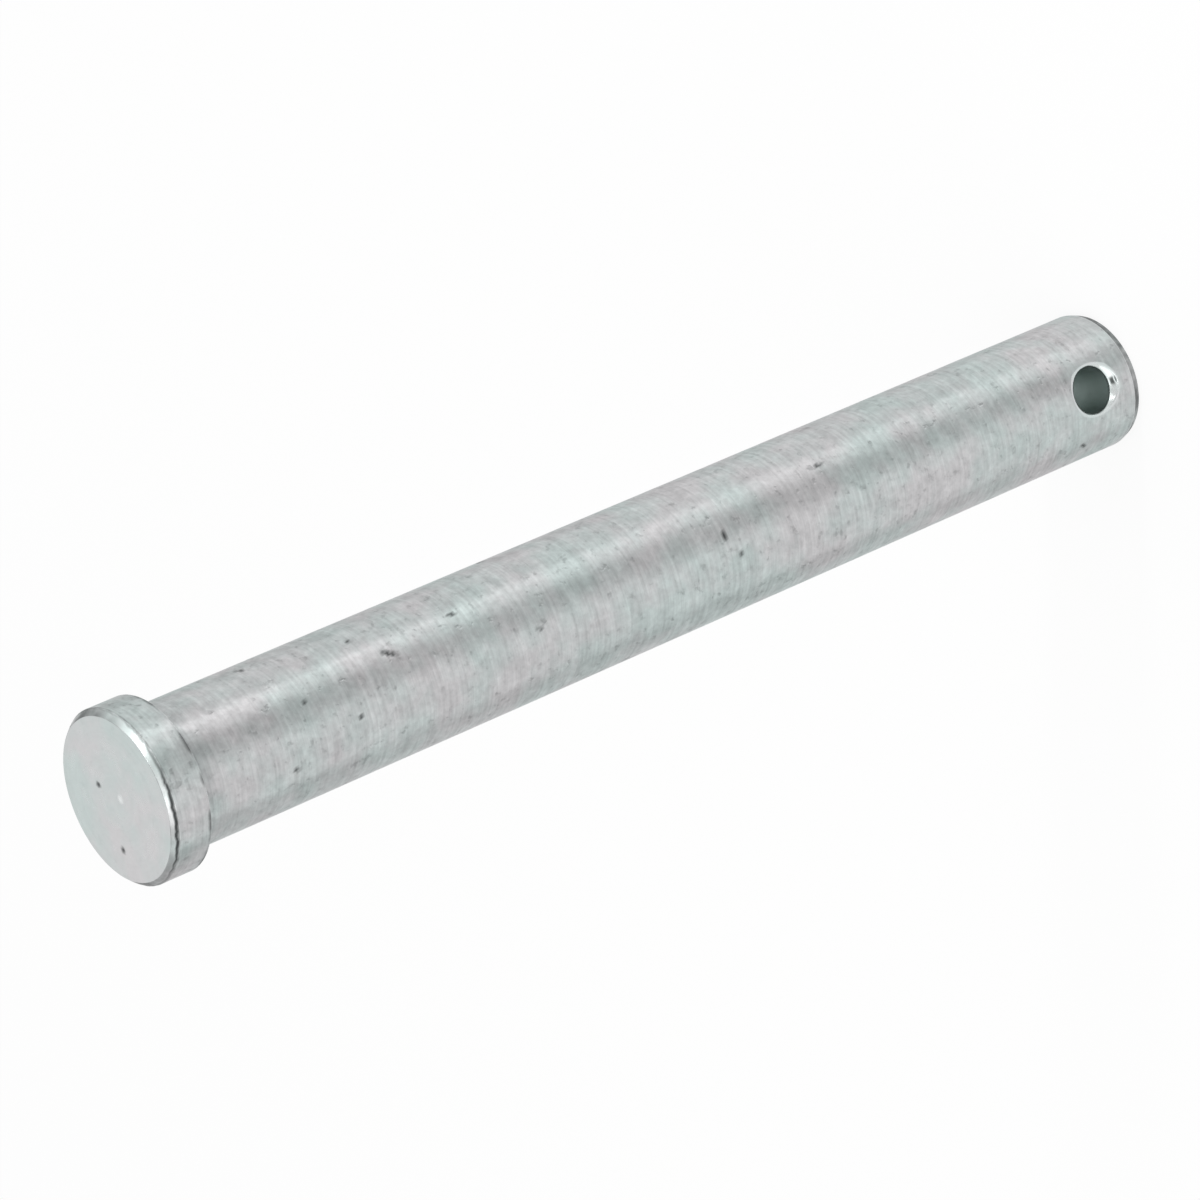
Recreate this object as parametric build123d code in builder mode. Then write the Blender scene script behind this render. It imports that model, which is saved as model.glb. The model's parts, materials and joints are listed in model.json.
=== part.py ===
"""Headed clevis pin, turned from one piece of round steel bar.

The pin has a low cylindrical head, a long plain shank and, close to its
tip, one cross hole for a cotter. Both mouths of the cross hole are
countersunk, so that the cotter's legs don't catch on a sharp edge.

Frame: the origin is the centre of the head's underside, where the pin
seats on the clevis. +Z runs along the axis and out through the head, so
the shank hangs towards -Z. The cross hole runs along Y.
"""

import os

from build123d import *

# Driving dimensions, in millimetres and degrees.

# Shank: a 1/2 inch pin, 4 1/4 inches long under its head.
shank_diameter = 12.7
shank_length = 107.95

# Head: a plain cylinder with a turned bevel round its outer face.
head_diameter = 15.45
head_height = 3.8
face_bevel_width = 0.5
face_bevel_depth = 0.55

# Small turned edges.
head_back_round = 0.15
neck_fillet = 0.25
tip_bevel_width = 0.25
tip_bevel_length = 0.75

# Cross hole for the cotter, drilled right through near the tip.
cotter_hole_diameter = 4.3
cotter_hole_to_tip = 5.25
countersink_diameter = 5.5
countersink_angle = 90.0

# Radii and heights that follow from the sizes above.
shank_radius = shank_diameter / 2
head_radius = head_diameter / 2
tip_height = -shank_length
cotter_hole_height = tip_height + cotter_hole_to_tip

with BuildPart() as clevis_pin:
    # Turned blank: half of the pin's profile, revolved about its axis.
    with BuildSketch(Plane.XZ):
        with BuildLine():
            Polyline(
                (0, head_height),
                (head_radius, head_height),
                (head_radius, 0),
                (shank_radius, 0),
                (shank_radius, tip_height),
                (0, tip_height),
                close=True,
            )
        make_face()
    revolve(axis=Axis.Z)

    # The turned edges, from the head's outer face down to the tip.
    rims = clevis_pin.edges().filter_by(GeomType.CIRCLE).sort_by(Axis.Z, reverse=True)
    face_rim, *shoulder_rims, tip_rim = rims
    neck_rim, back_rim = ShapeList(shoulder_rims).sort_by(SortBy.RADIUS)

    head_face = clevis_pin.faces().sort_by(Axis.Z)[-1]
    chamfer(face_rim, length=face_bevel_width, length2=face_bevel_depth, reference=head_face)
    fillet(back_rim, radius=head_back_round)
    fillet(neck_rim, radius=neck_fillet)

    tip_face = clevis_pin.faces().sort_by(Axis.Z)[0]
    chamfer(tip_rim, length=tip_bevel_width, length2=tip_bevel_length, reference=tip_face)

    # Cross hole: one countersunk drilling from each side meets in the middle.
    mouth_planes = [
        Plane(
            origin=(0, side * shank_radius, cotter_hole_height),
            x_dir=(1, 0, 0),
            z_dir=(0, side, 0),
        )
        for side in (-1, 1)
    ]
    with Locations(*mouth_planes):
        CounterSinkHole(
            radius=cotter_hole_diameter / 2,
            counter_sink_radius=countersink_diameter / 2,
            depth=shank_diameter,
            counter_sink_angle=countersink_angle,
        )

clevis_pin.part.label = "clevis_pin"

os.makedirs("parts", exist_ok=True)
export_step(clevis_pin.part, "parts/clevis_pin.step")
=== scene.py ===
"""A zinc-plated clevis pin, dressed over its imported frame.

The pin is one piece of metal, so it is one mesh: a turned skin that runs from the middle of the head's face
to the middle of the tip, with two countersunk mouths and a bore set into it. The skin carries what the
lathe, the drill and the plating barrel left behind: rolled edges, a dented lip, scratches and pits.
"""

import json
import logging
import math
import random
from collections.abc import Callable
from dataclasses import dataclass, field
from enum import Enum, IntEnum

import bpy
from mathutils import Matrix, Vector, noise


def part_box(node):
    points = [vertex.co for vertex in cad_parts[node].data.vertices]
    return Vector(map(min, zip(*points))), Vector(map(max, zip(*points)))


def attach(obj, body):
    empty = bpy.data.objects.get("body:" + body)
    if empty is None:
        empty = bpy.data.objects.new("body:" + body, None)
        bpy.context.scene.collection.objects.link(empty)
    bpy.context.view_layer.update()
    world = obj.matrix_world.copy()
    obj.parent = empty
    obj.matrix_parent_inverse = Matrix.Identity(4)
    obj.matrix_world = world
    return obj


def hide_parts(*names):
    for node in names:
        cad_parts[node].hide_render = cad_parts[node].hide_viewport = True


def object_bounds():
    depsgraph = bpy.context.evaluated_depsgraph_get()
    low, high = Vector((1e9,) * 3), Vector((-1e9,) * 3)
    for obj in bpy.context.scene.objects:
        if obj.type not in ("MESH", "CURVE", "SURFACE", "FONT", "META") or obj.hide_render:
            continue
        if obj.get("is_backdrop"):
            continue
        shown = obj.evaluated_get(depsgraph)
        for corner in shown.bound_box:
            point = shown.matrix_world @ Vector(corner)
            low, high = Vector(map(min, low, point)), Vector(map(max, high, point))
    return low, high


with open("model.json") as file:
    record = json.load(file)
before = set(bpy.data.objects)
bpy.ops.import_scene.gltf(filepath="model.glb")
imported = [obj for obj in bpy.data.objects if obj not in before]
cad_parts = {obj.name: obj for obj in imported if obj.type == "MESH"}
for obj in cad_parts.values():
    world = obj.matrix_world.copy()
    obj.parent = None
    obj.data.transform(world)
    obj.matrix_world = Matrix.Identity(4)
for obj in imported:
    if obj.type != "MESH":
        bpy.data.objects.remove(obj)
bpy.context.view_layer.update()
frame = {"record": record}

Tree = bpy.types.NodeTree
Socket = bpy.types.NodeSocket
LOG = logging.getLogger("clevis_pin")
MM = 0.001
NODE = "clevis_pin"


def linear(hex_colour: str) -> tuple[float, float, float, float]:
    """Turns an sRGB hex colour into linear light.

    Args:
        hex_colour: Six hex digits, with or without a leading hash.

    Returns:
        Red, green, blue and an alpha of 1.
    """
    digits = hex_colour.lstrip("#")
    channels = [int(digits[i:i + 2], 16) / 255 for i in (0, 2, 4)]
    light = [c / 12.92 if c <= 0.04045 else ((c + 0.055) / 1.055) ** 2.4 for c in channels]
    return (*light, 1.0)


def smooth(value: float, low: float, high: float) -> float:
    """Eases from 0 at low to 1 at high, and stays flat outside them."""
    share = min(max((value - low) / (high - low), 0.0), 1.0)
    return share * share * (3 - 2 * share)


def steps_between(start: float, end: float, step: float) -> list[float]:
    """Evenly spaced values after start and before end.

    Args:
        start: The value before the first one.
        end: The value after the last one.
        step: The largest gap between two values.

    Returns:
        The values, without start and end.
    """
    count = max(1, math.ceil(abs(end - start) / step))
    return [start + (end - start) * i / count for i in range(1, count)]


def add_node(tree: Tree, kind: str, links: dict | None = None, **settings) -> bpy.types.Node:
    """Adds one node, sets it up and links its inputs.

    Args:
        tree: The node tree that gets the node.
        kind: The node's type name, such as ShaderNodeMath.
        links: Input name or index to what feeds it: an output socket, or a plain value.
        settings: Properties of the node itself, such as operation="ADD".

    Returns:
        The new node.
    """
    node = tree.nodes.new(kind)
    for name, value in settings.items():
        setattr(node, name, value)
    for name, value in (links or {}).items():
        if isinstance(value, Socket):
            tree.links.new(value, node.inputs[name])
        else:
            node.inputs[name].default_value = value
    return node


class Cut(IntEnum):
    """The two finishes on the pin's faces, by their material number."""

    TURNED = 0
    FACED = 1


class Region(Enum):
    """The faces of the pin that the lathe made, from the head down."""

    FACE = "outer face of the head"
    BEVEL = "bevel round the face"
    SIDE = "side of the head"
    SEAT = "underside of the head"
    SHANK = "shank"
    TIP = "bevel at the tip"
    END = "flat end of the tip"


@dataclass(frozen=True)
class Corner:
    """A corner of the turned profile, in millimetres.

    Attributes:
        radius: Distance from the axis.
        height: Place along the axis, up towards the head.
        rounding: Radius of the arc that breaks the corner.
        region: The face that starts after the corner.
        step: The largest gap between two rings on that face.
    """

    radius: float
    height: float
    rounding: float
    region: Region
    step: float


@dataclass(frozen=True)
class Station:
    """One ring of the turned skin, in millimetres.

    Attributes:
        radius: Distance from the axis.
        height: Place along the axis, up towards the head.
        region: The face that the ring lies on.
        edge: How far the ring is up on a broken corner, from 0 to 1.
    """

    radius: float
    height: float
    region: Region
    edge: float = 0.0


@dataclass(frozen=True)
class Nick:
    """A small dent or scratch in the skin of the shank or the head's side.

    Attributes:
        angle: Degrees round the axis from the front mouth of the cross hole towards +X.
        height: Place along the axis, in mm.
        length: Full length, in mm.
        width: Full width, in mm.
        depth: Depth in the middle, in mm.
        lean: Degrees that its long side leans from the way round the pin.
    """

    angle: float
    height: float
    length: float
    width: float
    depth: float
    lean: float = 0.0


@dataclass(frozen=True)
class Pit:
    """A small round dent, or a nub where the depth is below zero, on the head's face.

    Attributes:
        x: Place along +X, in mm.
        y: Place along +Y, in mm.
        width: Full width, in mm.
        depth: Depth in the middle, in mm.
    """

    x: float
    y: float
    width: float
    depth: float


@dataclass(frozen=True)
class PinSizes:
    """The pin's sizes in millimetres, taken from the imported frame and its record."""

    shank_radius: float
    hole_radius: float
    hole_height: float
    head_radius: float
    head_top: float
    tip: float
    bevel_width: float = 0.5
    bevel_depth: float = 0.55
    back_round: float = 0.15
    neck_fillet: float = 0.25
    tip_bevel_width: float = 0.25
    tip_bevel_length: float = 0.75
    sink_radius: float = 2.75
    broken_edge: float = 0.1

    @classmethod
    def from_frame(cls) -> "PinSizes":
        """Reads the sizes that the frame holds.

        Returns:
            The sizes, with the small bevels at their drawn values.
        """
        low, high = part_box(NODE)
        mounts = {mount["name"]: mount for mount in frame["record"]["mounts"]}
        return cls(
            shank_radius=mounts["shank"]["dims"]["r_mm"],
            hole_radius=mounts["cotter_hole"]["dims"]["r_mm"],
            hole_height=mounts["cotter_hole"]["pos_m"][2] / MM,
            head_radius=max(high.x, high.y) / MM,
            head_top=high.z / MM,
            tip=low.z / MM,
        )

    def profile(self) -> list[Corner]:
        """The turned profile, from the middle of the head's face to the middle of the tip.

        Returns:
            Its corners, in order.
        """
        top, radius, shank = self.head_top, self.head_radius, self.shank_radius
        return [
            Corner(0.0, top, 0.0, Region.FACE, 0.22),
            Corner(radius - self.bevel_width, top, self.broken_edge, Region.BEVEL, 0.07),
            Corner(radius, top - self.bevel_depth, self.broken_edge, Region.SIDE, 0.11),
            Corner(radius, 0.0, self.back_round, Region.SEAT, 0.16),
            Corner(shank, 0.0, self.neck_fillet, Region.SHANK, 0.38),
            Corner(shank, self.tip + self.tip_bevel_length, self.broken_edge * 4, Region.TIP, 0.1),
            Corner(shank - self.tip_bevel_width, self.tip, self.broken_edge, Region.END, 0.6),
            Corner(0.0, self.tip, 0.0, Region.END, 0.35),
        ]


@dataclass
class Relief:
    """What the lathe, the press and wear did to the true form, as small moves of the skin.

    Attributes:
        sizes: The pin's sizes.
        nicks: Dents and scratches on the shank and on the head's side.
        pits: Pits and nubs on the head's face.
        blow_angle: Where the head's rim was knocked hardest, in degrees round the axis.
        blow_spread: How far round the rim the blow reaches each way, in degrees.
    """

    sizes: PinSizes
    nicks: list[Nick]
    pits: list[Pit]
    blow_angle: float = -20.0
    blow_spread: float = 40.0

    def wave(self, angle: float, height: float, size: float, shift: float) -> float:
        """Smooth noise that closes round the pin, from -1 to 1.

        Args:
            angle: Radians round the axis.
            height: Place along the axis, in mm.
            size: Size of one swell, in mm.
            shift: Moves the sample, so that two calls differ.

        Returns:
            The noise there.
        """
        radius = self.sizes.shank_radius / size
        place = Vector((math.cos(angle) * radius, math.sin(angle) * radius, height / size + shift))
        return noise.noise(place)

    def lip_at(self, angle: float) -> tuple[float, float]:
        """Where the dented lip runs and how deep it is.

        Args:
            angle: Radians round the axis from the front mouth towards +X.

        Returns:
            Its distance down the bevel and its depth, in mm.
        """
        from_blow = math.remainder(angle - math.radians(self.blow_angle), math.tau)
        heavy = math.exp(-(from_blow / math.radians(self.blow_spread)) ** 2)
        wobble = 0.09 * self.wave(angle, 0.0, 0.7, 31.0) + 0.06 * self.wave(angle, 0.0, 0.3, 57.0)
        return 0.06 + 0.1 * heavy + wobble, 0.04 + 0.08 * heavy

    def nick_at(self, angle: float, height: float, radius: float) -> tuple[float, float]:
        """How deep the nicks are at a place on a round side.

        Args:
            angle: Radians round the axis from the front mouth towards +X.
            height: Place along the axis, in mm.
            radius: Radius of that side, in mm.

        Returns:
            Depth in mm, below zero on a raised rim, and how much shade is painted there, from 0 to 1.
        """
        depth = 0.0
        dirt = 0.0
        for nick in self.nicks:
            down = height - nick.height
            if abs(down) > nick.length:
                continue
            around = math.remainder(angle - math.radians(nick.angle), math.tau) * radius
            if abs(around) > nick.length:
                continue
            lean = math.radians(nick.lean)
            along = (around * math.cos(lean) + down * math.sin(lean)) / (nick.length / 2)
            across = (down * math.cos(lean) - around * math.sin(lean)) / (nick.width / 2)
            reach = math.hypot(along, across)
            if reach < 1:
                depth += nick.depth * (1 - reach * reach) ** 2
                # painted shade in the nick's hollow, darkest in the middle
                dirt = max(dirt, 1 - reach ** 2)
            elif reach < 1.6:
                depth -= 0.2 * nick.depth * math.sin((reach - 1) / 0.6 * math.pi)
        return depth, dirt

    def on_face(self, x: float, y: float) -> tuple[float, float]:
        """How deep the head's face is dished, pitted or raised at a place.

        Args:
            x: Place along +X, in mm.
            y: Place along +Y, in mm.

        Returns:
            Depth in mm, below zero on a nub, and how much shade is painted there, from 0 to 1.
        """
        depth = 0.006 * noise.noise(Vector((x / 3.0, y / 3.0, 4.0)))
        dirt = 0.0
        for pit in self.pits:
            reach = math.hypot(x - pit.x, y - pit.y) / (pit.width / 2)
            if reach < 1:
                depth += pit.depth * (1 - reach * reach) ** 2
                # painted shade in a pit's hollow; a nub gets none
                dirt = max(dirt, (1 - reach ** 2) if pit.depth > 0 else 0.0)
        return depth, dirt

    def place(self, station: Station, angle: float) -> tuple[Vector, float]:
        """Where one point of the skin really lies.

        Args:
            station: The ring that it is on.
            angle: Radians round the axis from the front mouth towards +X.

        Returns:
            The point in millimetres, and how much shade is painted on it, from 0 to 1.
        """
        radius, height, dirt = station.radius, station.height, 0.0
        if station.region is Region.FACE:
            depth, dirt = self.on_face(radius * math.sin(angle), -radius * math.cos(angle))
            height -= depth
        if station.region in (Region.SHANK, Region.SIDE, Region.TIP):
            depth, dirt = self.nick_at(angle, height, radius)
            swell = 0.010 * self.wave(angle, height, 9.0, 3.0) + 0.005 * self.wave(angle, height, 2.6, 11.0)
            ripple = 0.0022 * self.wave(angle, height, 0.9, 23.0)
            radius += (swell + ripple) - depth
        if station.region in (Region.BEVEL, Region.SIDE):
            radius, height, dark = self.beside_lip(radius, height, angle)
            dirt = max(dirt, dark)
        # painted shade at the rims
        dirt = max(dirt, self.rim_shade(station, angle))
        return Vector((radius * math.sin(angle), -radius * math.cos(angle), height)), dirt

    def shine(self, station: Station, angle: float) -> float:
        """How pale the plate is at a place, from 0 to 1: rubbed bright on broken corners, and a painted glint
        on nubs.

        Args:
            station: The ring that the place is on.
            angle: Radians round the axis from the front mouth towards +X.

        Returns:
            The share.
        """
        bright = 0.6 * station.edge
        if station.region is Region.FACE:
            x, y = station.radius * math.sin(angle), -station.radius * math.cos(angle)
            # a painted glint on a nub of the face
            for pit in self.pits:
                if pit.depth < 0:
                    bright = max(bright, 1 - (math.hypot(x - pit.x, y - pit.y) / (pit.width / 2)) ** 2)
        return bright

    def rim_shade(self, station: Station, angle: float) -> float:
        """How much shade is painted at a rim, from 0 to 1, broken up by noise: on the tip's bevel, round the
        head's bevel, beside the head's back rim and on its underside, and on the face's rounded edge.

        Args:
            station: The ring that the place is on.
            angle: Radians round the axis from the front mouth towards +X.

        Returns:
            The share.
        """
        coarse = self.wave(angle, station.height, 1.8, 71.0)
        patchy = 0.5 + coarse + 0.5 * self.wave(angle, station.height, 0.5, 87.0)
        if station.region is Region.TIP:
            # painted shade along the tip's bevel
            return min(0.85, max(0.4, 0.45 + 0.5 * patchy))
        if station.region is Region.BEVEL:
            # painted shade round the head's bevel, heavier on the side away from the front mouth, and none in
            # a narrow band at 33 degrees
            unshaded_band = math.exp(-(math.remainder(angle - math.radians(33), math.tau) / 0.35) ** 2)
            shade_weighted = 0.5 - 0.5 * math.cos(angle - math.radians(5))
            return max(0.0, min(0.8, (0.25 + 0.55 * shade_weighted) * (0.5 + patchy)) * (1 - unshaded_band))
        if station.region in (Region.SIDE, Region.SEAT):
            # painted shade beside the head's back rim and on its underside
            beside_rim = 1 - smooth(station.height, 0.12, 0.3 + 0.2 * patchy)
            return beside_rim * min(0.7, max(0.1, 0.8 * patchy))
        if station.region is Region.FACE and station.edge > 0:
            # painted shade on the face's rounded edge
            return station.edge * min(0.6, max(0.0, 0.7 * patchy))
        return 0.0

    def beside_lip(self, radius: float, height: float, angle: float) -> tuple[float, float, float]:
        """Presses the dented lip into the bevel's outer edge, and paints shade in its groove.

        Args:
            radius: Distance from the axis, in mm.
            height: Place along the axis, in mm.
            angle: Radians round the axis from the front mouth towards +X.

        Returns:
            The new radius and height, and how much shade is painted there, from 0 to 1.
        """
        down, deep = self.lip_at(angle)
        edge = self.sizes.head_top - self.sizes.bevel_depth
        from_lip = (height - edge) - down
        if abs(from_lip) > 0.6:
            return radius, height, 0.0
        groove = math.exp(-(from_lip / 0.1) ** 2)
        roll = math.exp(-((from_lip + 0.17) / 0.12) ** 2)
        radius -= deep * groove - 0.25 * deep * roll
        # painted shade along the lip's groove, by how deep it is
        return radius, height - 0.3 * deep * groove, min(1.0, deep * groove / 0.09)


@dataclass
class MeshDraft:
    """Points, faces and marks of a mesh on its way to becoming an object."""

    points: list[Vector] = field(default_factory=list)
    faces: list[tuple[int, ...]] = field(default_factory=list)
    finishes: list[int] = field(default_factory=list)
    marks: dict[str, list[float]] = field(default_factory=lambda: {"dirt": [], "edge": [], "bore": []})

    def add(self, point: Vector, dirt: float = 0.0, edge: float = 0.0, bore: float = 0.0) -> int:
        """Adds one point.

        Args:
            point: Its place in millimetres.
            dirt: How much shade is painted on it, from 0 to 1.
            edge: How pale it is, from 0 to 1: rubbed, by how far it is up on a broken edge, and a painted
                glint on a nub of the face.
            bore: How far it is inside the cross hole, from 0 to 1.

        Returns:
            The point's number.
        """
        self.points.append(point)
        for name, value in (("dirt", dirt), ("edge", edge), ("bore", bore)):
            self.marks[name].append(value)
        return len(self.points) - 1

    def face(self, corners: tuple[int, ...], finish: int) -> None:
        """Adds one face and the number of its finish."""
        self.faces.append(corners)
        self.finishes.append(finish)

    def bridge(self, first: list[int], second: list[int], finish: int) -> None:
        """Joins two closed rings of the same count with four-sided faces.

        Args:
            first: The point numbers of one ring.
            second: Those of the other.
            finish: The number of the faces' finish.
        """
        count = len(first)
        for i in range(count):
            j = (i + 1) % count
            self.face((first[i], first[j], second[j], second[i]), finish)

    def object(self, name: str) -> bpy.types.Object:
        """Makes the Blender object.

        Args:
            name: Its name.

        Returns:
            The object, linked into the scene, with its marks as point attributes.
        """
        mesh = bpy.data.meshes.new(name)
        mesh.from_pydata([point * MM for point in self.points], [], self.faces)
        for mark, values in self.marks.items():
            mesh.attributes.new(mark, "FLOAT", "POINT").data.foreach_set("value", values)
        mesh.polygons.foreach_set("use_smooth", [True] * len(mesh.polygons))
        mesh.polygons.foreach_set("material_index", self.finishes)
        mesh.update()
        mesh.validate()
        made = bpy.data.objects.new(name, mesh)
        bpy.context.collection.objects.link(made)
        return made


@dataclass
class CrossHole:
    """One countersunk mouth of the cross hole and its half of the bore.

    Attributes:
        sizes: The pin's sizes.
        relief: What wear did to the skin.
        side: 1 for the front mouth, towards -Y, and -1 for the back one.
        broken_edge: How far the mouth's sharp edge is rounded on each side, in mm.
        dent_turn: Where the front mouth's countersink is knocked in, in radians round the bore.
        dent_depth: How deep that dent is, in mm.
        dent_spread: How far it reaches each way, in radians.
    """

    sizes: PinSizes
    relief: Relief
    side: int
    broken_edge: float = 0.08
    dent_turn: float = -1.52
    dent_depth: float = 0.24
    dent_spread: float = 0.17

    def mouth_radius(self, turn: float) -> float:
        """Distance of the mouth's edge from the bore's axis, where the cone meets the round shank.

        Args:
            turn: Radians round the bore.

        Returns:
            The distance in mm.
        """
        radius = self.sizes.sink_radius
        for _ in range(20):
            radius = self.sizes.sink_radius - self.sag(radius * math.cos(turn))
        return radius

    def sag(self, across: float) -> float:
        """How far the shank has curved away at a distance across from its crown."""
        shank = self.sizes.shank_radius
        return shank - math.sqrt(shank * shank - across * across)

    def in_hole(self, radius: float, turn: float, depth: float) -> Vector:
        """A point inside the hole.

        Args:
            radius: Distance from the bore's axis, in mm.
            turn: Radians round that axis, from across the pin towards its head.
            depth: Distance below the crown of the shank, in mm.

        Returns:
            The point in millimetres.
        """
        out = self.sizes.shank_radius - depth
        across = radius * math.cos(turn)
        up = self.sizes.hole_height + radius * math.sin(turn)
        return Vector((self.side * across, -self.side * out, up))

    def on_shank(self, around: float, up: float) -> tuple[Vector, float]:
        """A point on the shank beside the mouth.

        Args:
            around: Distance round the shank from the mouth's middle, in mm.
            up: Distance up from the bore's axis, in mm.

        Returns:
            The point in millimetres and how much shade is painted on it.
        """
        start = 0.0 if self.side == 1 else math.pi
        shank = self.sizes.shank_radius
        return self.relief.place(
            Station(shank, self.sizes.hole_height + up, Region.SHANK), start + around / shank
        )

    def chatter(self, turn: float, radius: float) -> float:
        """How far the countersink's tool skipped, as a move along the bore, in mm.

        Args:
            turn: Radians round the bore.
            radius: Distance from the bore's axis, in mm.

        Returns:
            The move, with the dent in the front mouth added.
        """
        skip = noise.noise(Vector((math.cos(turn) * 3, math.sin(turn) * 3, radius * 2 + self.side)))
        if self.side == -1:
            return 0.02 * skip
        from_dent = math.remainder(turn - self.dent_turn, math.tau)
        return 0.02 * skip + self.dent_depth * math.exp(-(from_dent / self.dent_spread) ** 2)

    def cut(self, draft: MeshDraft, rim: list[int], places: list[tuple[float, float]]) -> list[int]:
        """Builds the mouth from the window's rim inwards, and the bore down to the pin's axis.

        Args:
            draft: The mesh that gets the hole.
            rim: The numbers of the points round the window in the skin.
            places: Those points' distances round and up from the mouth's middle, in mm.

        Returns:
            The numbers of the last ring, on the pin's axis.
        """
        sizes = self.sizes
        turns = [math.atan2(up, around) for around, up in places]
        mouths = [self.mouth_radius(turn) for turn in turns]
        ring = rim
        flats = [1 - (i / 9) ** 0.75 for i in range(1, 9)]
        for share in flats:
            ring = self.next_ring(
                draft, ring, turns,
                lambda k: self.shank_point(places[k], turns[k], mouths[k], share), Cut.TURNED,
            )
        for share in (0.0, 0.2, 0.4, 0.6, 0.8, 1.0):
            ring = self.next_ring(draft, ring, turns, lambda k: self.mouth_point(turns[k], mouths[k], share))
        for share in (0.25, 0.5, 0.75):
            ring = self.next_ring(draft, ring, turns, lambda k: self.cone_point(turns[k], mouths[k], share))
        throat = sizes.sink_radius - sizes.hole_radius
        for drop in (-0.08, -0.04, 0.0, 0.05, 0.1):
            inward = max(0.0, -drop)
            radius = sizes.hole_radius + inward + 0.02 * math.exp(-(drop / 0.06) ** 2)
            # a little painted shade in the corner where the countersink meets the bore
            ring = self.next_ring(
                draft, ring, turns,
                lambda k: (self.in_hole(radius, turns[k], throat + drop), 0.1, 0.5, 0.35),
            )
        for depth in [*steps_between(throat + 0.1, sizes.shank_radius, 0.26), sizes.shank_radius]:
            deep = smooth(depth, throat, throat + 1.6)
            score = 0.012 * noise.noise(Vector((depth * 3.1, 0.4, 9.0))) * (1 - smooth(depth, 5.9, 6.3))
            radius = sizes.hole_radius + score
            # the bore's dull plate, painted darker deeper in as shade
            ring = self.next_ring(
                draft, ring, turns,
                lambda k: (self.in_hole(radius, turns[k], depth), 0.0, 0.0, 0.4 + 0.6 * deep),
            )
        return ring

    def next_ring(
        self,
        draft: MeshDraft,
        ring: list[int],
        turns: list[float],
        point: Callable[[int], tuple[Vector, float, float, float]],
        finish: Cut = Cut.FACED,
    ) -> list[int]:
        """Adds a ring of points and joins it to the last one.

        Args:
            draft: The mesh that gets the ring.
            ring: The numbers of the last ring.
            turns: The angle of each point round the bore.
            point: Gives the place, painted shade, edge and bore marks of the point with a number.
            finish: The number of the new faces' finish.

        Returns:
            The numbers of the new ring.
        """
        new = []
        for k in range(len(turns)):
            place, dirt, edge, bore = point(k)
            new.append(draft.add(place, dirt, edge, bore))
        draft.bridge(ring, new, finish)
        return new

    def shank_point(
        self, place: tuple[float, float], turn: float, mouth: float, share: float
    ) -> tuple[Vector, float, float, float]:
        """A point between the window's rim, at share 1, and the start of the mouth's rounding, at 0.

        Args:
            place: The rim point's distances round and up from the mouth's middle, in mm.
            turn: Radians round the bore.
            mouth: Distance of the mouth's edge from the bore's axis there, in mm.
            share: How far out it is.

        Returns:
            The place, and its painted shade, edge and bore marks.
        """
        shank = self.sizes.shank_radius
        inner = mouth + self.broken_edge
        around = shank * math.asin(inner * math.cos(turn) / shank)
        up = inner * math.sin(turn)
        point, dirt = self.on_shank(around + (place[0] - around) * share, up + (place[1] - up) * share)
        return point, dirt, 0.0, 0.0

    def mouth_point(self, turn: float, mouth: float, share: float) -> tuple[Vector, float, float, float]:
        """A point on the mouth's broken edge, from the shank at share 0 to the cone at share 1.

        Args:
            turn: Radians round the bore.
            mouth: Distance of the mouth's edge from the bore's axis there, in mm.
            share: How far in it is.

        Returns:
            The place, and its painted shade, edge and bore marks.
        """
        shank = self.sizes.shank_radius
        outer = mouth + self.broken_edge
        first, dirt = self.on_shank(shank * math.asin(outer * math.cos(turn) / shank), outer * math.sin(turn))
        corner = self.in_hole(mouth, turn, self.sag(mouth * math.cos(turn)))
        inner = mouth - self.broken_edge * 0.8
        last = self.in_hole(inner, turn, self.sizes.sink_radius - inner + self.chatter(turn, inner))
        point = first * (1 - share) ** 2 + corner * (2 * share * (1 - share)) + last * share ** 2
        return point, dirt, 0.3 * math.sin(math.pi * share), 0.1 * share

    def cone_point(self, turn: float, mouth: float, share: float) -> tuple[Vector, float, float, float]:
        """A point on the countersink's cone, from its mouth at share 0 to its throat at share 1.

        Args:
            turn: Radians round the bore.
            mouth: Distance of the mouth's edge from the bore's axis there, in mm.
            share: How far in it is.

        Returns:
            The place, and its painted shade, edge and bore marks.
        """
        outer = mouth - self.broken_edge * 0.8
        inner = self.sizes.hole_radius + 0.08
        radius = outer + (inner - outer) * share
        depth = self.sizes.sink_radius - radius + self.chatter(turn, radius) * (1 - share)
        # painted shade in the dent knocked into the front countersink
        dent = smooth(self.chatter(turn, radius), 0.04, 0.2)
        return self.in_hole(radius, turn, depth), dent, 0.6, 0.2 * share


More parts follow.
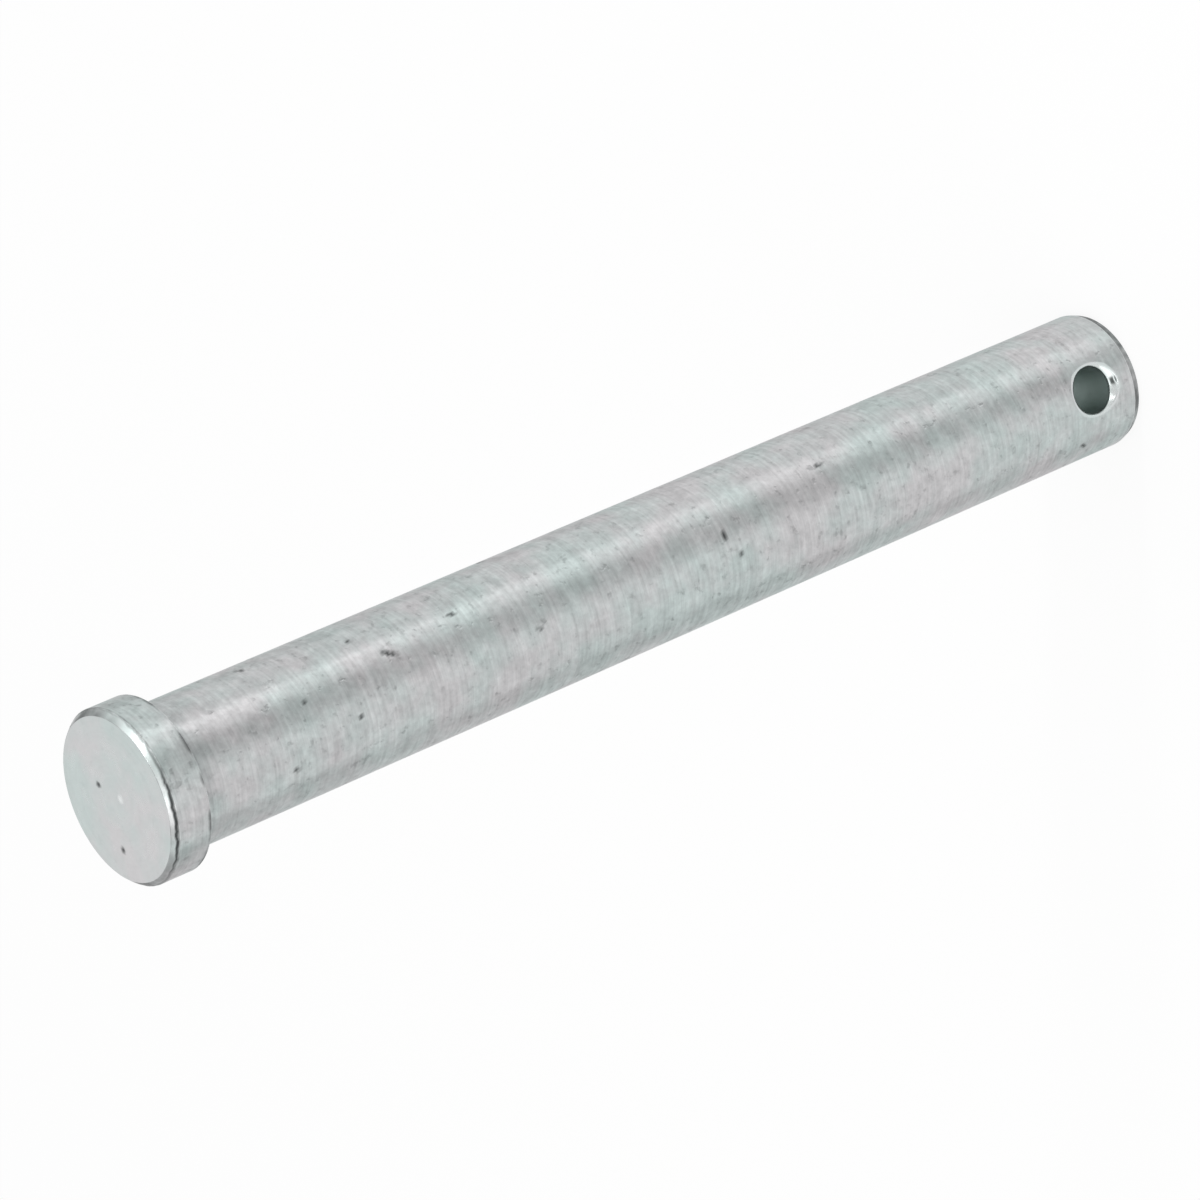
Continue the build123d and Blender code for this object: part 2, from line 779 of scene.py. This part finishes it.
@dataclass
class TurnedPin:
    """The whole pin: the turned skin, ring by ring, with the cross hole set into it.

    Attributes:
        sizes: The pin's sizes.
        relief: What the lathe and wear did to the skin.
        columns: Points in each ring.
        window_columns: Columns from the middle of a mouth to the side of the window cut for it.
        window_half: Distance from the bore's axis to the window's top and bottom, in mm.
        window_step: Height of the rows in the window, in mm.
    """

    sizes: PinSizes
    relief: Relief
    columns: int = 200
    window_columns: int = 18
    window_half: float = 3.8
    window_step: float = 0.2

    def arc(self, before: Corner, corner: Corner, after: Corner, steps: int = 5) -> list[Station]:
        """Breaks one corner of the profile with a round arc.

        Args:
            before: The corner before it.
            corner: The corner to break.
            after: The corner after it.
            steps: Number of gaps along the arc.

        Returns:
            The rings on the arc, or just the corner where it has no rounding.
        """
        tip = Vector((corner.radius, corner.height))
        back = (Vector((before.radius, before.height)) - tip).normalized()
        on = (Vector((after.radius, after.height)) - tip).normalized()
        if corner.rounding == 0.0:
            return [Station(tip.x, tip.y, corner.region)]
        half = back.angle(on) / 2
        middle = tip + (back + on).normalized() * (corner.rounding / math.sin(half))
        start = tip + back * (corner.rounding / math.tan(half)) - middle
        end = tip + on * (corner.rounding / math.tan(half)) - middle
        sweep = start.angle_signed(end)
        rings = []
        for i in range(steps + 1):
            turned = Matrix.Rotation(-sweep * i / steps, 2) @ start + middle
            edge = math.sin(math.pi * i / steps)
            region = before.region if i < steps / 2 else corner.region
            rings.append(Station(turned.x, turned.y, region, edge))
        return rings

    def stations(self) -> list[Station]:
        """Every ring of the skin, from the first one off the face's middle to the last one on the tip.

        Returns:
            The rings, in order.
        """
        corners = self.sizes.profile()
        arcs = [[Station(corners[0].radius, corners[0].height, corners[0].region)]]
        for before, corner, after in zip(corners, corners[1:], corners[2:]):
            arcs.append(self.arc(before, corner, after))
        arcs.append([Station(corners[-1].radius, corners[-1].height, corners[-1].region)])
        rings: list[Station] = []
        for first, second, corner in zip(arcs, arcs[1:], corners):
            rings += first
            rings += self.between(first[-1], second[0], corner)
        return rings[1:]

    def between(self, start: Station, end: Station, corner: Corner) -> list[Station]:
        """Rings on the straight stretch between two corners.

        Args:
            start: The last ring on the first corner.
            end: The first ring on the next corner.
            corner: The first corner, which gives the face and the step.

        Returns:
            The rings between them.
        """
        if corner.region is Region.SHANK:
            top = self.sizes.hole_height + self.window_half
            bottom = self.sizes.hole_height - self.window_half
            heights = [
                *steps_between(start.height, top, corner.step),
                top,
                *steps_between(top, bottom, self.window_step),
                bottom,
                *steps_between(bottom, end.height, corner.step),
            ]
            return [Station(start.radius, height, corner.region) for height in heights]
        length = math.hypot(end.radius - start.radius, end.height - start.height)
        return [
            Station(
                start.radius + (end.radius - start.radius) * share,
                start.height + (end.height - start.height) * share,
                corner.region,
            )
            for share in steps_between(0.0, 1.0, corner.step / length)
        ]

    def in_window(self, station: Station, column: float, slack: float) -> bool:
        """Whether a place lies inside a window cut for a mouth.

        Args:
            station: The ring.
            column: Its place round the ring, in columns.
            slack: How far inside the window's rim it has to be, in mm and columns.

        Returns:
            True inside either window.
        """
        if station.region is not Region.SHANK:
            return False
        near = abs(station.height - self.sizes.hole_height) < self.window_half - slack
        from_mouth = min(column % (self.columns / 2), -column % (self.columns / 2))
        return near and from_mouth < self.window_columns - slack

    def build(self) -> bpy.types.Object:
        """Builds the pin.

        Returns:
            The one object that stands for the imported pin.
        """
        draft = MeshDraft()
        rings = self.stations()
        numbers = [self.lay_ring(draft, station) for station in rings]
        self.lay_faces(draft, rings, numbers)
        centre_top = draft.add(Vector((0, 0, self.sizes.head_top - self.relief.on_face(0, 0)[0])))
        centre_end = draft.add(Vector((0, 0, self.sizes.tip)))
        for j in range(self.columns):
            after = (j + 1) % self.columns
            draft.face((centre_top, numbers[0][j], numbers[0][after]), Cut.FACED)
            draft.face((centre_end, numbers[-1][after], numbers[-1][j]), Cut.FACED)
        halves = [self.cut_hole(draft, rings, numbers, side) for side in (1, -1)]
        self.weld(draft, *halves)
        return draft.object("pin_body")

    def lay_ring(self, draft: MeshDraft, station: Station) -> list[int | None]:
        """Adds the points of one ring, leaving out those inside a window.

        Args:
            draft: The mesh.
            station: The ring.

        Returns:
            The points' numbers, with None inside a window.
        """
        row = []
        for j in range(self.columns):
            if self.in_window(station, j, 0.01):
                row.append(None)
                continue
            angle = math.tau * j / self.columns
            point, dirt = self.relief.place(station, angle)
            row.append(draft.add(point, dirt, self.relief.shine(station, angle)))
        return row

    def lay_faces(self, draft: MeshDraft, rings: list[Station], numbers: list[list[int | None]]) -> None:
        """Joins neighbouring rings with faces, leaving the windows open.

        Args:
            draft: The mesh.
            rings: The rings.
            numbers: The numbers of their points.
        """
        for above, below, upper, lower in zip(rings, rings[1:], numbers, numbers[1:]):
            middle = Station(below.radius, (above.height + below.height) / 2, below.region)
            finish = Cut.TURNED if below.region in (Region.SHANK, Region.SIDE) else Cut.FACED
            for j in range(self.columns):
                k = (j + 1) % self.columns
                if not self.in_window(middle, j + 0.5, 0.0):
                    draft.face((upper[j], lower[j], lower[k], upper[k]), finish)

    def cut_hole(
        self, draft: MeshDraft, rings: list[Station], numbers: list[list[int | None]], side: int
    ) -> list[int]:
        """Sets one mouth and its half of the bore into the skin's window.

        Args:
            draft: The mesh.
            rings: The skin's rings.
            numbers: The numbers of their points.
            side: 1 for the front mouth, -1 for the back one.

        Returns:
            The numbers of the bore's last ring, on the pin's axis.
        """
        shank = self.sizes.shank_radius
        rows = [
            i for i, station in enumerate(rings)
            if station.region is Region.SHANK and station.edge == 0.0
            and abs(station.height - self.sizes.hole_height) < self.window_half + 0.01
        ]
        start = 0 if side == 1 else self.columns // 2
        span = range(-self.window_columns, self.window_columns + 1)
        top, bottom = rows[0], rows[-1]
        rim = [(row, span[-1]) for row in reversed(rows)]
        rim += [(top, column) for column in reversed(span[:-1])]
        rim += [(row, span[0]) for row in rows[1:]]
        rim += [(bottom, column) for column in span[1:-1]]
        places = [
            (shank * math.tau * column / self.columns, rings[row].height - self.sizes.hole_height)
            for row, column in rim
        ]
        loop = [numbers[row][(start + column) % self.columns] for row, column in rim]
        return CrossHole(self.sizes, self.relief, side).cut(draft, loop, places)

    def weld(self, draft: MeshDraft, front: list[int], back: list[int]) -> None:
        """Joins the two halves of the bore where they meet on the pin's axis.

        Args:
            draft: The mesh.
            front: The numbers of the front half's last ring.
            back: Those of the back half's.
        """
        places = {self.key(draft.points[number]): number for number in front}
        swap = {number: places[self.key(draft.points[number])] for number in back}
        draft.faces[:] = [tuple(swap.get(number, number) for number in face) for face in draft.faces]

    @staticmethod
    def key(point: Vector) -> tuple[float, ...]:
        """A point's place rounded so that two equal points match."""
        return tuple(round(value, 4) + 0.0 for value in point)


@dataclass(frozen=True)
class ZincPlate:
    """Clear-passivated zinc, barrel-plated on turned steel.

    The plate is a thin, pale grey metal layer with a satin break-up. Its clear passivate tints it a faint
    blue-green, or pink where it is thinner, in clouds several millimetres across. The turning lines of the
    steel show through it, and it stays thin and dull inside the cross hole, where it is also painted darker
    deeper in as shade.

    Attributes:
        name: What the finish is called.
        roughness: The satin's roughness.
        streak: How far the turning lines draw reflections out along the pin, from 0 to 1.
        mottle: How uneven the plate is, from 0 to 1.
        base: The plate's own grey.
        cool: Where the passivate is thicker.
        warm: Where it is thinner.
        painted_shade_grey: Painted shade: the dark grey put in nicks, pits, dings, the lip's groove, at rims
            and in the countersink's dent.
        throat: The plate inside the bore: thin and dull, and painted darker deeper in as shade.
        rubbed_and_glint: Freshly rubbed plate at edges, and a painted glint on the face's nub.
        line_pitch: Spacing of the turning lines in mm, drawn coarser than the real 0.1 mm so that they show.
        grain: Size of the satin's bumps in mm.
        cloud: Size of the tinted clouds in mm.
        fleck_gap: Size of the dark flecks in mm; their swarms are four times as wide.
    """

    name: str
    roughness: float
    streak: float
    mottle: float
    base: str = "D6DAD9"
    cool: str = "C9D8D6"
    warm: str = "D8D3D6"
    painted_shade_grey: str = "4A4D4D"
    throat: str = "B4BFBC"
    rubbed_and_glint: str = "F4F7F7"
    line_pitch: float = 0.35
    grain: float = 0.55
    cloud: float = 7.0
    fleck_gap: float = 0.8

    def material(self) -> bpy.types.Material:
        """Builds the node material.

        Returns:
            The material.
        """
        made = bpy.data.materials.new(self.name)
        made.use_nodes = True
        tree = made.node_tree
        tree.nodes.clear()
        where = add_node(tree, "ShaderNodeTexCoord").outputs["Object"]
        marks = {
            name: add_node(tree, "ShaderNodeAttribute", attribute_name=name).outputs["Fac"]
            for name in ("dirt", "edge", "bore")
        }
        nodes = PlateNodes(self, tree, where, marks)
        colour = nodes.colour()
        height = nodes.height()
        bump = add_node(tree, "ShaderNodeBump", {"Height": height, "Strength": 1.0, "Distance": MM})
        tangent = add_node(tree, "ShaderNodeTangent", direction_type="RADIAL", axis="Z")
        shader = add_node(tree, "ShaderNodeBsdfPrincipled", {
            "Base Color": colour,
            "Metallic": 1.0,
            "Roughness": nodes.rough(),
            "Anisotropic": self.streak,
            "Anisotropic Rotation": 0.25,  # a quarter turn, so reflections draw out across the lines
            "Normal": bump.outputs["Normal"],
            "Tangent": tangent.outputs["Tangent"],
        })
        add_node(tree, "ShaderNodeOutputMaterial", {"Surface": shader.outputs["BSDF"]})
        return made


@dataclass
class PlateNodes:
    """The nodes of one plate's material.

    Attributes:
        plate: The finish.
        tree: Its node tree.
        where: Coordinates on the pin, in metres.
        marks: The mesh's marks, by name.
    """

    plate: ZincPlate
    tree: Tree
    where: Socket
    marks: dict[str, Socket]

    def noise(self, size: float, detail: float, rough: float = 0.5, where: Socket | None = None) -> Socket:
        """Noise whose features are a given size.

        Args:
            size: Feature size in mm.
            detail: How many finer layers are added.
            rough: How strong the finer layers are.
            where: Coordinates in metres, if not the plain ones.

        Returns:
            The noise's value, around 0.5.
        """
        node = add_node(self.tree, "ShaderNodeTexNoise", {
            "Vector": where or self.where, "Scale": 1 / (size * MM), "Detail": detail, "Roughness": rough,
        })
        return node.outputs["Fac"]

    def colour(self) -> Socket:
        """The plate's colour, with its clouds, painted shade in flecks, nicks, pits, grooves and at rims,
        rubbed edges, a painted glint and a dull bore painted darker deeper in.

        Returns:
            The colour.
        """
        cloud = add_node(self.tree, "ShaderNodeMapRange", {
            0: self.noise(self.plate.cloud, 3.0, 0.6), 1: 0.38, 2: 0.62,
        })
        tint = self.mix(cloud.outputs[0], linear(self.plate.warm), linear(self.plate.cool))
        shaded = add_node(self.tree, "ShaderNodeMapRange", {
            0: self.noise(self.plate.grain, 3.0, 0.6), 1: 0.3, 2: 0.7,
            3: 1 - 0.11 * self.plate.mottle, 4: 1 + 0.06 * self.plate.mottle,
        })
        lined = add_node(self.tree, "ShaderNodeMapRange", {
            0: self.lines(), 1: 0.3, 2: 0.7, 3: 1 - 0.12 * self.plate.mottle, 4: 1 + 0.07 * self.plate.mottle,
        })
        shade = self.times(shaded.outputs[0], lined.outputs[0])
        plain = add_node(self.tree, "ShaderNodeVectorMath", {
            0: self.mix(0.45, tint, linear(self.plate.base)), 3: shade,
        }, operation="SCALE").outputs[0]
        # painted shade in the small dings, which are also sunk in the relief
        fleck_share = self.times(self.flecks(), 0.2 * self.plate.mottle)
        flecked = self.mix(fleck_share, plain, linear(self.plate.painted_shade_grey))
        # pale plate: rubbed at broken edges, and a painted glint on the face's nub
        rubbed_and_glint = self.mix(self.times(self.marks["edge"], 0.75), flecked, linear(self.plate.rubbed_and_glint))
        # painted shade in nicks, pits, the lip's groove, at rims and in the countersink's dent
        with_painted_shade = self.mix(self.marks["dirt"], rubbed_and_glint, linear(self.plate.painted_shade_grey))
        # dull plate in the bore, painted darker deeper in as shade
        return self.mix(self.marks["bore"], with_painted_shade, linear(self.plate.throat))

    def mix(
        self,
        share: Socket | float,
        first: Socket | tuple[float, ...],
        second: Socket | tuple[float, ...],
    ) -> Socket:
        """Blends two colours.

        Args:
            share: How much of the second one, as a socket or a number.
            first: The first colour.
            second: The second colour.

        Returns:
            The blended colour.
        """
        node = add_node(self.tree, "ShaderNodeMix", {0: share, 6: first, 7: second}, data_type="RGBA")
        return node.outputs[2]

    def flecks(self) -> Socket:
        """Small ragged flecks, 0 to 1, in swarms: dings sunk into the relief, with painted shade in them.

        Returns:
            How much of a fleck the place is.
        """
        swarm = add_node(self.tree, "ShaderNodeMapRange", {
            0: self.noise(self.plate.fleck_gap * 4, 2.0), 1: 0.35, 2: 0.65, 3: 0.07, 4: 0.0,
        })
        spots = self.noise(self.plate.fleck_gap, 2.5, 0.6)
        high = add_node(self.tree, "ShaderNodeMath", {0: spots, 1: swarm.outputs[0]}, operation="SUBTRACT")
        return add_node(self.tree, "ShaderNodeMapRange", {
            0: high.outputs[0], 1: 0.58, 2: 0.69, 3: 0.0, 4: 1.0,
        }).outputs[0]

    def rough(self) -> Socket:
        """The plate's roughness: uneven in patches, duller in the bore and nicks, smoother where rubbed.

        Returns:
            The roughness.
        """
        patches = add_node(self.tree, "ShaderNodeMapRange", {
            0: self.noise(1.6, 4.0, 0.65), 1: 0.3, 2: 0.7,
            3: self.plate.roughness - 0.06, 4: self.plate.roughness + 0.08,
        })
        dull = self.plus(patches.outputs[0], self.marks["bore"], 0.12)
        shade_weighted = self.plus(dull, self.marks["dirt"], 0.2)
        return self.plus(shade_weighted, self.marks["edge"], -0.13)

    def lines(self) -> Socket:
        """The turning lines, around 0.5.

        They follow the height along the pin plus the distance from its axis, so they run round the shank
        and lie as rings on the head's face.

        Returns:
            The lines' value.
        """
        apart = add_node(self.tree, "ShaderNodeSeparateXYZ", {0: self.where})
        flat = add_node(self.tree, "ShaderNodeCombineXYZ", {0: apart.outputs[0], 1: apart.outputs[1]})
        out = add_node(self.tree, "ShaderNodeVectorMath", {0: flat.outputs[0]}, operation="LENGTH")
        along = add_node(
            self.tree, "ShaderNodeMath", {0: apart.outputs[2], 1: out.outputs["Value"]}, operation="ADD"
        )
        squeeze = 0.06  # stretches each line far round the pin
        lines_at = add_node(self.tree, "ShaderNodeCombineXYZ", {
            0: self.times(apart.outputs[0], squeeze),
            1: self.times(apart.outputs[1], squeeze),
            2: along.outputs[0],
        })
        return self.noise(self.plate.line_pitch, 3.0, 0.6, lines_at.outputs[0])

    def height(self) -> Socket:
        """The plate's fine relief in millimetres: turning lines, satin grain and sunk flecks.

        Returns:
            The height.
        """
        grain = self.noise(self.plate.grain, 3.0, 0.6)
        line_height = self.times(self.lines(), 0.008)
        grain_height = self.times(grain, 0.006 + 0.014 * self.plate.mottle)
        even = self.plus(line_height, grain_height, 1.0)
        return self.plus(even, self.flecks(), -0.02 * self.plate.mottle)

    def times(self, value: Socket, factor: Socket | float) -> Socket:
        """A value times a factor."""
        return add_node(self.tree, "ShaderNodeMath", {0: value, 1: factor}, operation="MULTIPLY").outputs[0]

    def plus(self, value: Socket, mark: Socket, factor: float) -> Socket:
        """A value plus a share of a mark."""
        terms = {0: mark, 1: factor, 2: value}
        return add_node(self.tree, "ShaderNodeMath", terms, operation="MULTIPLY_ADD").outputs[0]


@dataclass(frozen=True)
class Softbox:
    """A rectangular studio light aimed at the pin.

    Attributes:
        name: What it is called.
        azimuth: Degrees round the pin from -Y towards +X.
        elevation: Degrees above the floor.
        distance: Distance from the pin, in metres.
        width: Width in metres.
        height: Height in metres.
        radiance: How bright its face is, where 1 is white.
    """

    name: str
    azimuth: float
    elevation: float
    distance: float
    width: float
    height: float
    radiance: float

    def place(self, target: Vector) -> bpy.types.Object:
        """Adds the light to the scene.

        Args:
            target: The point that it faces, in metres.

        Returns:
            The light object.
        """
        lamp = bpy.data.lights.new(self.name, "AREA")
        lamp.shape = "RECTANGLE"
        lamp.size, lamp.size_y = self.width, self.height
        lamp.energy = self.radiance * self.width * self.height * math.pi
        box = bpy.data.objects.new(self.name, lamp)
        away = from_angles(self.azimuth, self.elevation)
        box.location = target + away * self.distance
        box.rotation_euler = away.to_track_quat("Z", "Y").to_euler()
        bpy.context.collection.objects.link(box)
        return box


def from_angles(azimuth: float, elevation: float) -> Vector:
    """The direction at an azimuth from -Y towards +X and an elevation above the floor, in degrees."""
    turn, rise = math.radians(azimuth), math.radians(elevation)
    return Vector((math.sin(turn) * math.cos(rise), -math.cos(turn) * math.cos(rise), math.sin(rise)))


@dataclass
class Studio:
    """The floor, the lights, the world and the camera.

    Attributes:
        floor_half: Half the floor's side, in metres.
        ambient: Brightness of the room round the pin, where 1 is white.
        lens: Focal length for a 36 mm wide sensor, in mm.
        azimuth: The camera's place round the pin, in degrees.
        elevation: Its height above the floor, in degrees.
        roll: Degrees that the camera leans over, its top towards the right.
        distance: Its distance from the point that it looks at, in metres.
        aim: That point, in mm from the part's origin.
    """

    floor_half: float = 3.0
    ambient: float = 0.72
    lens: float = 173.0
    azimuth: float = 9.4
    elevation: float = 34.7
    roll: float = 113.4
    distance: float = 0.496
    aim: tuple[float, float, float] = (-0.7, -0.1, -47.7)
    boxes: list[Softbox] = field(default_factory=list)

    def lay_floor(self) -> bpy.types.Object:
        """Lays the pale floor under the pin's tip.

        Returns:
            The floor, marked as stage.
        """
        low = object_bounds()[0].z
        half = self.floor_half
        mesh = bpy.data.meshes.new("floor")
        mesh.from_pydata([(-half, -half, low), (half, -half, low), (half, half, low), (-half, half, low)], [],
                         [(0, 1, 2, 3)])
        floor = bpy.data.objects.new("floor", mesh)
        bpy.context.collection.objects.link(floor)
        made = bpy.data.materials.new("floor_paper")
        made.use_nodes = True
        tree = made.node_tree
        tree.nodes.clear()
        paper = add_node(tree, "ShaderNodeBsdfDiffuse", {"Color": linear("F2F2F2")})
        glow = add_node(tree, "ShaderNodeEmission", {"Color": linear("FFFFFF"), "Strength": 1.0})
        seen = self.seen_share(tree, 0.88)
        both = add_node(tree, "ShaderNodeMixShader", {0: seen, 1: paper.outputs[0], 2: glow.outputs[0]})
        add_node(tree, "ShaderNodeOutputMaterial", {"Surface": both.outputs[0]})
        mesh.materials.append(made)
        floor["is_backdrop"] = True
        return floor

    def seen_share(self, tree: Tree, share: float) -> Socket:
        """A factor that is share for rays from the camera, or mirrored or let through, and else 0.

        Args:
            tree: The node tree.
            share: The factor for such rays.

        Returns:
            The factor.
        """
        path = add_node(tree, "ShaderNodeLightPath")
        seen = path.outputs["Is Camera Ray"]
        for kind in ("Is Glossy Ray", "Is Transmission Ray"):
            most = add_node(tree, "ShaderNodeMath", {0: seen, 1: path.outputs[kind]}, operation="MAXIMUM")
            seen = most.outputs[0]
        return add_node(tree, "ShaderNodeMath", {0: seen, 1: share}, operation="MULTIPLY").outputs[0]

    def light_world(self) -> None:
        """Sets the room: an even grey light, white where the camera sees it."""
        world = bpy.data.worlds.new("studio_room")
        bpy.context.scene.world = world
        world.use_nodes = True
        tree = world.node_tree
        tree.nodes.clear()
        room = add_node(tree, "ShaderNodeBackground", {"Color": linear("FFFFFF"), "Strength": self.ambient})
        white = add_node(tree, "ShaderNodeBackground", {"Color": linear("FFFFFF"), "Strength": 1.0})
        path = add_node(tree, "ShaderNodeLightPath")
        both = add_node(tree, "ShaderNodeMixShader", {
            0: path.outputs["Is Camera Ray"], 1: room.outputs[0], 2: white.outputs[0],
        })
        add_node(tree, "ShaderNodeOutputWorld", {"Surface": both.outputs[0]})

    def set_camera(self) -> bpy.types.Object:
        """Places the camera, leaning over so that the standing pin lies across the picture.

        Returns:
            The camera, set as the scene's own.
        """
        data = bpy.data.cameras.new("camera")
        data.lens, data.sensor_width = self.lens, 36.0
        data.clip_start, data.clip_end = 0.01, 20.0
        camera = bpy.data.objects.new("camera", data)
        back = from_angles(self.azimuth, self.elevation)
        level_right = Vector((0, 0, 1)).cross(back).normalized()
        level_up = back.cross(level_right)
        lean = math.radians(self.roll)
        right = level_right * math.cos(lean) - level_up * math.sin(lean)
        up = level_up * math.cos(lean) + level_right * math.sin(lean)
        camera.matrix_world = Matrix.Translation(Vector(self.aim) * MM + back * self.distance) @ Matrix(
            (right, up, back)
        ).transposed().to_4x4()
        bpy.context.collection.objects.link(camera)
        bpy.context.scene.camera = camera
        return camera

    def build(self) -> None:
        """Sets up the whole studio."""
        self.lay_floor()
        self.light_world()
        for box in self.boxes:
            box.place(Vector(self.aim) * MM)
        self.set_camera()
        bpy.context.scene.view_settings.view_transform = "Standard"


def worn_nicks(sizes: PinSizes) -> list[Nick]:
    """The pin's dents and scratches: two plain ones, and small ones scattered all round.

    Args:
        sizes: The pin's sizes.

    Returns:
        The nicks.
    """
    gouge = Nick(angle=29, height=-22, length=2.0, width=0.6, depth=0.1, lean=55)
    dent = Nick(angle=-47, height=-101, length=1.2, width=0.42, depth=0.06, lean=55)
    dice = random.Random(5)
    scattered = [
        Nick(
            dice.uniform(0, 360), dice.uniform(sizes.tip + 3, -4), dice.uniform(0.5, 1.3),
            dice.uniform(0.4, 0.5), dice.uniform(0.02, 0.06), dice.uniform(0, 80),
        )
        for _ in range(28)
    ]
    return [gouge, dent, *scattered]


def main() -> None:
    """Builds the pin and its studio, and reports each piece."""
    logging.basicConfig(level=logging.INFO, format="%(name)s: %(message)s")
    sizes = PinSizes.from_frame()
    relief = Relief(
        sizes=sizes,
        nicks=worn_nicks(sizes),
        # the last pit is a nub of the face, which gets a painted glint
        pits=[Pit(1.4, 2.0, 0.7, 0.05), Pit(-4.3, 1.6, 0.7, 0.05), Pit(0.0, -0.6, 0.95, -0.06)],
    )
    pin = TurnedPin(sizes, relief).build()
    for finish in (ZincPlate("zinc_plate_turned", 0.5, 1.0, 1.0), ZincPlate("zinc_plate_cut", 0.3, 0.0, 0.2)):
        pin.data.materials.append(finish.material())
    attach(pin, "root")
    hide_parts(NODE)
    LOG.info("%s: %d faces, rides on root, replaces %s", pin.name, len(pin.data.polygons), NODE)
    studio = Studio(boxes=[
        Softbox("key_strip", 68.0, 45.0, 0.38, 0.028, 0.38, 6.5),
        Softbox("window_bank", 92.0, 30.0, 1.0, 1.2, 1.0, 0.6),
        Softbox("fill_bank", -39.0, 30.0, 1.0, 1.55, 1.0, 0.75),
        Softbox("top_card", -8.0, 56.0, 1.0, 0.5, 0.3, 1.5),
        Softbox("glint_card", 51.0, 29.0, 1.0, 0.16, 0.24, 2.6),
        Softbox("back_bank", 189.0, 36.0, 1.2, 0.6, 0.6, 0.2),
    ])
    studio.build()
    LOG.info("studio: %d lights, camera %.0f mm", len(studio.boxes), studio.lens)


if __name__ == "__main__":
    main()
